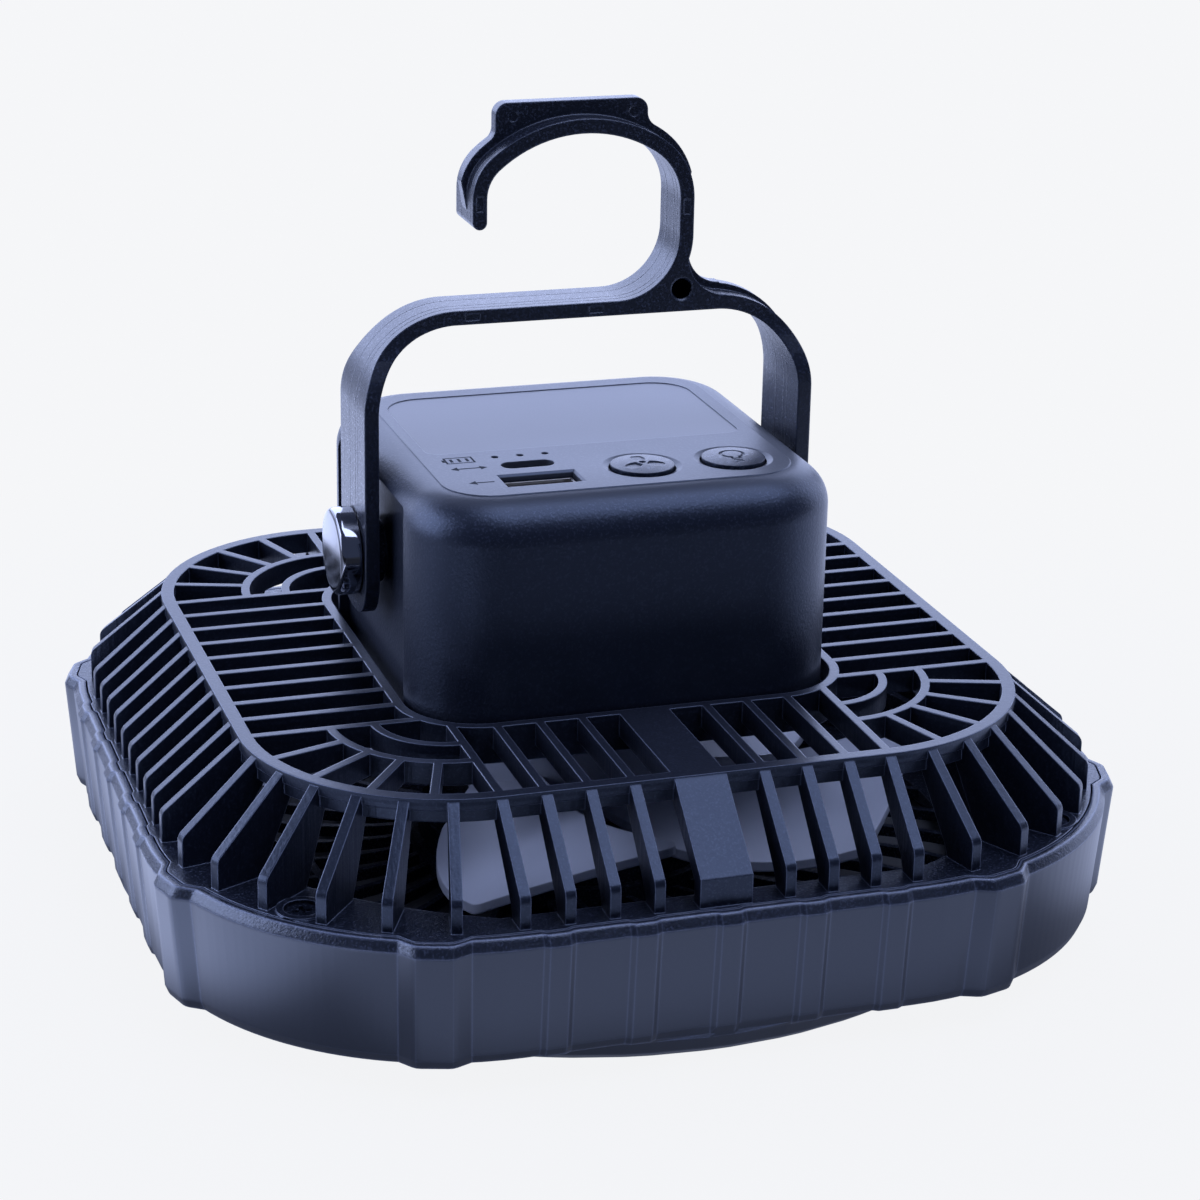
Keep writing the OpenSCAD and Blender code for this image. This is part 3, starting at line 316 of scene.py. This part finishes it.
def wall_plastic():
    """Bumper: smooth drawn wall below a grained lip, painted highlights on rib edges and faint upright drag
    marks.
    """
    f = Moulded("bumper_black", 0.3, grain_depth=0.045 * MM, grain_size=0.35 * MM, edge=0.9 * MM,
                edge_highlights=1.0, turns=SHALLOW_EDGES, sheen=SHEEN)
    lip = f.ramp(f.axis("Z"), DECK_TOP - 1.9 * MM, DECK_TOP - 1.6 * MM, 0.05, 1.0)
    f.height = f.height * lip
    f.specks = f.specks * lip
    f.eroded = f.eroded * lip + 0.5 * (1.0 - lip)
    drag = f.noise(1.4 * MM, detail=2, point=f.stretched(1, 1, 0.04))
    f.relief(0.012 * drag)
    return f.finished()


def grille_plastic():
    """Grille: grained deck, smoother bars with painted highlights along their edges, a painted sheen on the
    ring's top, and upright drag marks down the ring's wall.
    """
    f = Moulded("grille_black", 0.31, grain_depth=0.05 * MM, grain_size=0.35 * MM, edge=0.35 * MM,
                gloss=0.68, edge_highlights=0.9)
    z = f.axis("Z")
    grained = f.ramp(z, DECK_TOP + 0.2 * MM, DECK_TOP + 0.6 * MM, 1.0, 0.35)
    f.height = f.height * grained
    f.specks = f.specks * grained
    drag = f.noise(0.9 * MM, detail=2, point=f.stretched(1, 1, 0.05))
    below_rim = f.ramp(z, RING_TOP - 1.2 * MM, RING_TOP - 0.6 * MM, 1.0, 0.0)
    f.relief(0.07 * drag * below_rim)
    # Painted sheen: the ring's top face is paler, standing in for light falling on it.
    f.top_sheen = f.ramp(z, RING_TOP - 0.4 * MM, RING_TOP - 0.2 * MM, 0.0, 0.15)
    return f.finished()


PARTING_LINES = (-3.4 * MM, -1.7 * MM, 2.1 * MM)


def handle_plastic():
    """Handle: fine grain, the mould's parting lines along the strap, faint painted edge highlights, and painted
    shade, near black, in the hanging hole's bore.
    """
    f = Moulded("handle_black", 0.3, grain_depth=0.02 * MM, edge=0.45 * MM, edge_highlights=0.3, sheen=SHEEN)
    for place in PARTING_LINES:
        f.line("Y", place, width=0.2 * MM, height=0.06)
    f.relief(0.035 * f.noise(1.5 * MM, detail=2, point=f.stretched(0.1, 1, 0.1)))
    hole_x, _, hole_z = HANGING_HOLE["pos_m"]
    bore = HANGING_HOLE["dims"]["r_mm"] * MM
    x, z = f.axis("X") - hole_x, f.axis("Z") - hole_z
    # Painted shade inside the hanging hole's bore.
    f.bore_shade = f.ramp((x * x + z * z).root(), bore + 0.02 * MM, bore + 0.1 * MM, 1.0, 0.0)
    return f.finished()


# Places of the signs beside the sockets, in millimetres from the housing's middle.
CHARGE_ROW = -10.7
BOTH_WAYS_ROW = -15.5
OUT_ROW = -23.6
CHARGE_BARS = (-26.0, -24.6, -23.2)
SIGN_DEPTH = 0.12


def housing_plastic():
    """Battery housing: grain, a painted sheen on its top, faint painted edge highlights, and the plain signs
    for charge level and for current in and out.
    """
    f = Moulded("housing_black", 0.36, grain_depth=0.012 * MM, grain_size=0.4 * MM, edge=0.3 * MM,
                gloss=0.75, edge_highlights=0.15)
    x, y, z = f.axis("X"), f.axis("Y"), f.axis("Z")
    f.height = f.height * f.ramp(z, POD_TOP - 1.6 * MM, POD_TOP - 0.7 * MM, 3.0, 1.0)
    # Painted sheen: the top face is paler, standing in for light falling on it.
    f.top_sheen = f.ramp(z, POD_TOP - 1.8 * MM, POD_TOP - 0.6 * MM)
    # Fewer pale specks down the sides than near the top: grain, and painted shade that darkens the sides.
    f.specks = f.specks * f.ramp(z, POD_TOP - 8 * MM, POD_TOP - 4 * MM, 0.25, 0.6)

    def outside(cx, cy, width, height):
        """Distance outside a box, negative inside it."""
        return (abs(x - cx * MM) - width / 2 * MM).most(abs(y - cy * MM) - height / 2 * MM)

    def arrow(tip, tail, cy):
        """Distance outside an arrow along X: a thin shaft and a pointed head."""
        way = 1 if tip > tail else -1
        back = way * (tip * MM - x)
        head = (abs(y - cy * MM) - 0.75 * back).most(back - 1.3 * MM)
        return head.least(outside((tip + tail - way) / 2, cy, abs(tip - tail) - 1, 0.45))

    outline = abs(outside(-24.6, CHARGE_ROW, 4.8, 3.0)) - 0.17 * MM
    marks = outline.least(outside(-27.4, CHARGE_ROW, 0.5, 1.3))
    for cx in CHARGE_BARS:
        marks = marks.least(outside(cx, CHARGE_ROW, 0.5, 1.7))
    marks = marks.least(arrow(-20.9, -24.2, BOTH_WAYS_ROW)).least(arrow(-27.4, -24.2, BOTH_WAYS_ROW))
    marks = marks.least(arrow(-26.4, -22.0, OUT_ROW))
    on_top = f.ramp(z, POD_TOP - MM, POD_TOP - 0.5 * MM)
    f.sign = f.ramp(marks, -0.05 * MM, 0.05 * MM, 1.0, 0.0) * on_top
    f.relief(-SIGN_DEPTH * f.sign)
    return f.finished()


# ---------------------------------------------------------------- other finishes


def smoke_blades():
    """Blade plastic: smoke grey, partly clear, with faint flow marks from the hub outwards."""
    f = Finish("smoke_blades")
    flow = f.noise(14 * MM, detail=4)
    haze = f.noise(1.1 * MM, detail=2)
    return f.surface(
        base_color=f.mix(flow, (0.52, 0.56, 0.66), (0.62, 0.66, 0.78)),
        roughness=0.33 + 0.1 * flow,
        normal=f.bump(0.02 * flow + 0.004 * haze, f.edges(0.4 * MM)),
        transmission_weight=0.2, ior=1.45)


def polished_chrome():
    """Chrome plate: bright round the rim, and a satin, smoke grey face."""
    f = Finish("polished_chrome")
    wear = f.noise(2.5 * MM, detail=4)
    face = f.ramp(abs(f.axis("X")), KNOB_FACE - 0.5 * MM, KNOB_FACE - 0.35 * MM)
    smoke = f.mix(wear, (0.17, 0.175, 0.19), (0.20, 0.205, 0.22))
    return f.surface(
        base_color=f.mix(face, (0.42, 0.43, 0.46), smoke),
        roughness=0.06 + 0.06 * f.ramp(wear, 0.45, 0.8) + 0.1 * face,
        metallic=1.0,
        normal=f.bump(0.003 * wear))


def plated_steel(name, shade, roughness):
    """Plated metal, duller and darker where it has worn."""
    f = Finish(name)
    wear = f.noise(1.2 * MM, detail=4)
    return f.surface(
        base_color=f.mix(wear, darker(shade, 0.8), shade),
        roughness=roughness + 0.12 * wear,
        metallic=1.0,
        normal=f.bump(0.01 * wear, f.edges(0.2 * MM)))


def frosted_lens():
    """Milky plastic of the lamp's lens and the charge lights."""
    f = Finish("frosted_lens")
    frost = f.noise(0.7 * MM, detail=3)
    return f.surface(
        base_color=f.mix(frost, (0.55, 0.57, 0.61), (0.66, 0.68, 0.72)),
        roughness=0.42 + 0.12 * frost,
        normal=f.bump(0.01 * frost, f.edges(0.3 * MM)),
        transmission_weight=0.5, ior=1.5)


def label_film():
    """Bare label film, paler than the housing, pebbled, with a faint lacquer sheen."""
    f = Finish("label_film")
    pebble = f.noise(0.35 * MM, detail=2)
    clouds = f.noise(18 * MM, detail=2)
    return f.surface(
        base_color=f.mix(clouds, (0.062, 0.067, 0.085), (0.075, 0.08, 0.10)),
        roughness=0.38 + 0.08 * pebble,
        specular_ior_level=0.95,
        specular_tint=rgba(SHEEN),
        normal=f.bump(0.01 * pebble, f.edges(0.2 * MM)))


def coated(name, shade, roughness, size=3 * MM):
    """A dull coat with slow changes of shade."""
    f = Finish(name)
    clouds = f.noise(size, detail=3)
    return f.surface(
        base_color=f.mix(clouds, darker(shade, 0.75), shade),
        roughness=roughness + 0.1 * clouds,
        normal=f.bump(0.01 * clouds, f.edges(0.2 * MM)))


inner_black = Moulded("inner_black", 0.5, grain_depth=0.015 * MM, gloss=0.25).finished()
button_black = Moulded("button_black", 0.3, grain_depth=0.008 * MM, edge=0.3 * MM, gloss=0.5).finished()
rubber_black = Moulded("rubber_black", 0.65, grain_depth=0.02 * MM, gloss=0.4).finished()
black_oxide = Moulded("black_oxide", 0.6, grain_depth=0.01 * MM, gloss=0.1).finished()
screw_steel = plated_steel("screw_steel", (0.16, 0.16, 0.18), 0.32)
socket_steel = plated_steel("socket_steel", (0.55, 0.53, 0.50), 0.28)
bearing_bronze = plated_steel("bearing_bronze", (0.45, 0.29, 0.13), 0.4)
copper_winding = coated("copper_winding", (0.45, 0.16, 0.05), 0.35, 0.8 * MM)
magnet_grey = coated("magnet_grey", (0.06, 0.06, 0.065), 0.6)
cell_wrap = coated("cell_wrap", (0.03, 0.18, 0.15), 0.3, 12 * MM)
board_green = coated("board_green", (0.012, 0.08, 0.035), 0.35, 8 * MM)
board_white = coated("board_white", (0.72, 0.72, 0.70), 0.4, 8 * MM)
milky = frosted_lens()
chrome = polished_chrome()

FINISH_OF = {
    "bumper_frame": wall_plastic(),
    "screw_posts": inner_black,
    "rear_grille": grille_plastic(),
    "front_guard": inner_black,
    "air_duct": inner_black,
    "grille_screws": black_oxide,
    "lamp_cup": inner_black,
    "lamp_board": board_white,
    "lamp_lens": milky,
    "motor_mount": inner_black,
    "motor_stator": copper_winding,
    "motor_shaft": screw_steel,
    "shaft_bearings": bearing_bronze,
    "magnet_ring": magnet_grey,
    "impeller": smoke_blades(),
    "pod_shell": housing_plastic(),
    "battery_cells": cell_wrap,
    "cell_saddles": inner_black,
    "control_board": board_green,
    "usb_a_socket": socket_steel,
    "usb_c_socket": socket_steel,
    "charge_lights": milky,
    "button_switches": inner_black,
    "fan_button": button_black,
    "light_button": button_black,
    "label_plate": label_film(),
    "pod_screws": screw_steel,
    "handle": handle_plastic(),
    "left_knob": chrome,
    "right_knob": chrome,
    "left_bolt": screw_steel,
    "right_bolt": screw_steel,
    "friction_washers": rubber_black,
}

for name, finish in FINISH_OF.items():
    data = frame["nodes"][name].data
    data.materials.clear()
    data.materials.append(finish)

# ---------------------------------------------------------------- pivot knobs

KNOB_SIDES = 96
KNOB_RISE = 1.2 * MM
KNOB_SHOULDER = 0.9 * MM
KNOB_DOME = 0.16 * MM
SHOULDER_RINGS = 6
SHOULDER_TURN = 12
DOME_RINGS = 10
SMOOTH_BELOW = radians(40)


def knob_profile(radius):
    """Steps (inwards, outwards) from the end of the skirt over a rounded shoulder and the domed face."""
    points = [(radius, 0.0)]
    last_turn = radians(SHOULDER_RINGS * SHOULDER_TURN)
    for k in range(1, SHOULDER_RINGS + 1):
        turn = radians(SHOULDER_TURN * k)
        out = radius - KNOB_SHOULDER * (1 - cos(turn))
        points.append((out, (KNOB_RISE - KNOB_DOME) * sin(turn) / sin(last_turn)))
    edge = points[-1][0]
    for k in range(1, DOME_RINGS + 1):
        out = edge * (1 - k / (DOME_RINGS + 0.5))
        points.append((out, KNOB_RISE - KNOB_DOME * (out / edge) ** 2))
    return [(a[0] - b[0], b[1] - a[1]) for a, b in zip(points, points[1:])]


def add_knob(node):
    """Chromed cap of a pivot: a round skirt, and a domed face turned up from its end in narrow rings."""
    low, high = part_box(node)
    side = 1 if low.x > 0 else -1
    radius = (high.y - low.y) / 2
    skirt = high.x - low.x - KNOB_RISE
    seat = low.x if side > 0 else high.x
    bpy.ops.object.select_all(action="DESELECT")
    bpy.ops.mesh.primitive_cylinder_add(
        vertices=KNOB_SIDES, radius=radius, depth=skirt, rotation=(0, radians(90), 0),
        location=(seat + side * skirt / 2, (low.y + high.y) / 2, (low.z + high.z) / 2))
    knob = bpy.context.object
    knob.name = "chromed_" + node
    bpy.ops.object.transform_apply(location=True, rotation=True, scale=True)
    bpy.context.tool_settings.mesh_select_mode = (False, False, True)
    for polygon in knob.data.polygons:
        polygon.select = polygon.normal.x * side > 0.9
    bpy.ops.object.mode_set(mode="EDIT")
    for inwards, outwards in knob_profile(radius):
        bpy.ops.mesh.inset(thickness=inwards, depth=outwards)
    bpy.ops.object.mode_set(mode="OBJECT")
    bpy.ops.object.shade_smooth_by_angle(angle=SMOOTH_BELOW)
    knob.data.materials.append(chrome)
    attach(knob, "chassis")
    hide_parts(node)


add_knob("left_knob")
add_knob("right_knob")

# ---------------------------------------------------------------- studio

BACKDROP = (0.915, 0.922, 0.940)
PAPER = (0.62, 0.64, 0.68)
COOL = (0.60, 0.68, 1.0)
DEEP = (0.42, 0.54, 1.0)
WORLD_GLOW = 0.12
FOOTPRINT = 74 * MM
FLOOR_SIZE = 8
FLOOR_DROP = 0.2 * MM
MIDDLE = Vector((0, 0, 0.05))

# Each panel's place, its width and height, and its glow, where 1 is as bright as white paper.
PANELS = {
    "back_panel": ((0.0, 1.5, 0.7), (3.0, 1.3), 2.4),
    "left_panel": ((-1.3, 0.35, 0.6), (1.3, 1.1), 3.4),
    "right_panel": ((1.3, 0.45, 0.6), (1.1, 1.1), 2.0),
    "top_panel": ((0.35, -0.3, 1.4), (1.1, 1.2), 2.7),
}


def paper_finish():
    """Pale paper: to the camera an even tone with the fan's faint shadow. In reflections it glows as a painted
    reflection, dim close to the fan as painted shade, brighter beside and behind it, and dark in front. Under
    the fan it is bare paper darkened by painted shade."""
    f = Finish("paper")
    x, y = f.axis("X"), f.axis("Y")
    away = (x * x + y * y).root()
    beside = abs(x).most(abs(y))
    clear_of_fan = f.ramp(away, FOOTPRINT, FOOTPRINT + MM)
    # Painted shade: under the fan the paper's colour is darkened to a small share.
    bare = f.node("ShaderNodeBsdfDiffuse", None, {"Color": f.mix(clear_of_fan, darker(PAPER, 0.15), PAPER)})
    even = f.node("ShaderNodeEmission", None, {"Color": rgba(BACKDROP)})

    # Painted reflection: a glow seen only in reflections, dim close to the fan as painted shade, brighter at
    # the left, at the right and behind, and dark in front.
    not_in_front = f.ramp(y, -0.19, -0.15, 0.04, 1.0) * f.ramp(x, -0.15, -0.125, 0.25, 1.0)
    close = f.ramp(beside, 0.087, 0.1, 0.35, 1.15)
    at_left = f.ramp(x, -0.1, -0.088, 1.5, 0.0) * f.ramp(y, 0.05, 0.1, 1.0, 0.0)
    at_right = f.ramp(x, 0.09, 0.12, 0.0, 0.5)
    behind = f.ramp(y, 0.06, 0.2, 0.0, 1.5)
    behind = behind * f.ramp(x, -0.15, -0.12, 0.3, 1.0) * f.ramp(x, -0.06, 0.0, 1.0, 0.3)
    glow = (close + at_left + at_right) * not_in_front + behind
    painted_reflection = f.node("ShaderNodeEmission", None, {"Color": rgba(COOL), "Strength": glow})

    seen = (f.ray("Camera") + f.ray("Transmission")) * clear_of_fan
    unshaded = f.ramp(away, 0.08, 0.25, 0.96, 1.0)
    direct = f.blend(seen * unshaded, bare, even)
    return f.close(f.blend(f.ray("Glossy") * clear_of_fan, direct, painted_reflection))


def add_floor():
    bpy.ops.object.select_all(action="DESELECT")
    bpy.ops.mesh.primitive_plane_add(size=FLOOR_SIZE, location=(0, 0, -FLOOR_DROP))
    floor = bpy.context.object
    floor.name = "floor"
    floor.data.materials.append(paper_finish())


def add_panel(name, place, size, glow):
    """A soft panel that faces the fan."""
    data = bpy.data.lights.new(name, "AREA")
    data.shape = "RECTANGLE"
    data.size, data.size_y = size
    data.energy = 4 * size[0] * size[1] * glow
    data.color = COOL
    lamp = bpy.data.objects.new(name, data)
    bpy.context.scene.collection.objects.link(lamp)
    aim = (Vector(place) - MIDDLE).to_track_quat("Z", "Y")
    lamp.matrix_world = Matrix.Translation(place) @ aim.to_matrix().to_4x4()


def add_world():
    """The backdrop's tone to the camera, and a deep, dim blue in reflections."""
    world = bpy.data.worlds.new("studio")
    world.use_nodes = True
    tree = world.node_tree
    tree.nodes.clear()
    out = tree.nodes.new("ShaderNodeOutputWorld")
    soft = tree.nodes.new("ShaderNodeBackground")
    soft.inputs["Color"].default_value = rgba(DEEP)
    soft.inputs["Strength"].default_value = WORLD_GLOW
    seen = tree.nodes.new("ShaderNodeBackground")
    seen.inputs["Color"].default_value = rgba(BACKDROP)
    ray = tree.nodes.new("ShaderNodeLightPath")
    mix = tree.nodes.new("ShaderNodeMixShader")
    tree.links.new(ray.outputs["Is Camera Ray"], mix.inputs[0])
    tree.links.new(soft.outputs[0], mix.inputs[1])
    tree.links.new(seen.outputs[0], mix.inputs[2])
    tree.links.new(mix.outputs[0], out.inputs["Surface"])
    bpy.context.scene.world = world


add_floor()
add_world()
for name, (place, size, glow) in PANELS.items():
    add_panel(name, place, size, glow)

bpy.context.scene.view_settings.view_transform = "Standard"
